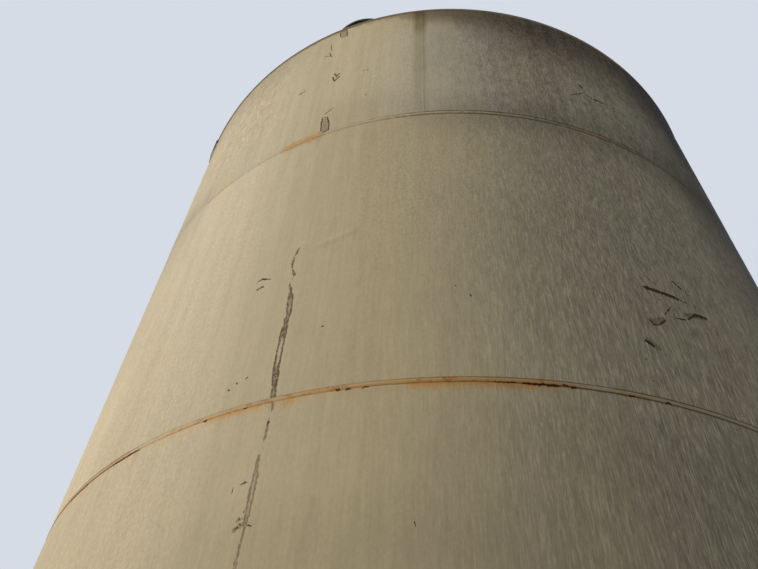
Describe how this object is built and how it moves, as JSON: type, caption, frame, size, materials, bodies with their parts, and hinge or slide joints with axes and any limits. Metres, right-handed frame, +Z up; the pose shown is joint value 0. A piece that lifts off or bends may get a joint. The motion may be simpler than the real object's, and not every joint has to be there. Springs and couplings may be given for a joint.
{
  "type": "vertical storage tank",
  "caption": "Upright cylindrical welded steel storage tank with rolled shell courses, shallow cone roof, roof hatch, vent, flanged nozzles, shell manway and lifting lugs.",
  "frame": {"origin": "centre of the underside of the bottom plate, on the floor", "axes": "+Z up along the tank's axis, -Y towards the front, which is the side in the picture, +X towards the outlet nozzle"},
  "size_m": [3.6568, 3.6694, 5.6135],
  "materials": {
    "shell_paint": "old beige paint, dull and dirty, with run-off streaks and mould",
    "weld_paint": "painted weld bead with rust breaking through",
    "bare_steel": "dark weathered steel, matt"
  },
  "bodies": {
    "root": {"bottom_plate": "shell_paint", "lower_course_plate_a": "shell_paint", "lower_course_plate_b": "shell_paint", "middle_course_plate_a": "shell_paint", "middle_course_plate_b": "shell_paint", "upper_course_plate_a": "shell_paint", "upper_course_plate_b": "shell_paint", "base_fillet_weld": "weld_paint", "lower_girth_weld": "weld_paint", "middle_girth_weld": "weld_paint", "lower_vertical_weld_a": "weld_paint", "lower_vertical_weld_b": "weld_paint", "middle_vertical_weld_a": "weld_paint", "middle_vertical_weld_b": "weld_paint", "upper_vertical_weld_a": "weld_paint", "upper_vertical_weld_b": "weld_paint", "roof_plate_1": "shell_paint", "roof_plate_2": "shell_paint", "roof_plate_3": "shell_paint", "roof_plate_4": "shell_paint", "roof_weld_1": "weld_paint", "roof_weld_2": "weld_paint", "roof_weld_3": "weld_paint", "roof_weld_4": "weld_paint", "hatch_neck": "shell_paint", "hatch_flange": "bare_steel", "hatch_cover": "bare_steel", "hatch_handle": "bare_steel", "vent_neck": "shell_paint", "vent_cap": "bare_steel", "fill_neck": "shell_paint", "fill_flange": "shell_paint", "fill_blind": "bare_steel", "manway_neck": "shell_paint", "manway_pad": "shell_paint", "manway_flange": "shell_paint", "manway_cover": "shell_paint", "manway_handle_1": "shell_paint", "manway_handle_2": "shell_paint", "outlet_neck": "shell_paint", "outlet_flange": "shell_paint", "drain_neck": "shell_paint", "drain_flange": "shell_paint", "lifting_lug_1": "bare_steel", "lifting_lug_2": "bare_steel"}
  },
  "joints": []
}
